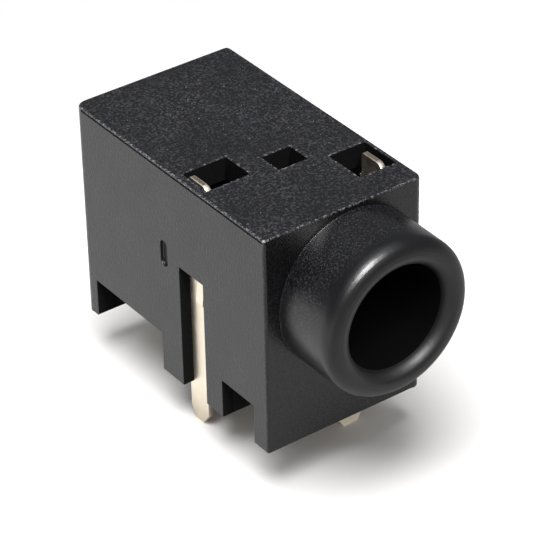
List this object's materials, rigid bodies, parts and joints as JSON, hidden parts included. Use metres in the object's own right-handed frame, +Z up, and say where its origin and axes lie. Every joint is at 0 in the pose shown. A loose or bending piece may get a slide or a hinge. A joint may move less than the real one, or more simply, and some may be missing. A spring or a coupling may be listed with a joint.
{
  "type": "audio jack socket",
  "caption": "Through-hole board socket for a 3.5 mm three-pole plug: black moulded body on feet, round barrel with bore, roof windows, gold-plated spring contacts and solder legs.",
  "frame": {"origin": "on the board's surface, below the middle of the body's front face", "axes": "+X across the socket to its right seen from the front, +Y from the front face to the back, +Z up from the board; the barrel points to -Y"},
  "size_m": [0.006, 0.0127, 0.0092],
  "materials": {
    "black_moulding": "fine spark-eroded texture",
    "gold_plated_strip": "thin gold plating on stamped copper alloy strip"
  },
  "bodies": {
    "socket_body": {"housing": "black_moulding", "bottom_cover": "black_moulding", "tip_terminal": "gold_plated_strip", "ring_terminal": "gold_plated_strip", "sleeve_terminal": "gold_plated_strip", "tip_break_terminal": "gold_plated_strip", "ring_break_terminal": "gold_plated_strip"},
    "tip_arm": {"tip_spring": "gold_plated_strip"},
    "ring_arm": {"ring_spring": "gold_plated_strip"},
    "sleeve_finger": {"sleeve_spring": "gold_plated_strip"}
  },
  "joints": [
    {"name": "tip_arm_flex", "type": "hinge", "parent": "socket_body", "child": "tip_arm", "pos_m": [-0.00248, 0.00475, 0.00495], "axis": [0, 0, 1], "range_deg": [0, 7], "stiffness_Nm_per_rad": 0.03},
    {"name": "ring_arm_flex", "type": "hinge", "parent": "socket_body", "child": "ring_arm", "pos_m": [0.00248, 0.00237, 0.00495], "axis": [0, 0, -1], "range_deg": [0, 6.5], "stiffness_Nm_per_rad": 0.03},
    {"name": "sleeve_finger_flex", "type": "hinge", "parent": "socket_body", "child": "sleeve_finger", "pos_m": [0.0002, 0.0019, 0.00202], "axis": [-1, 0, 0], "range_deg": [0, 5], "stiffness_Nm_per_rad": 0.02}
  ]
}
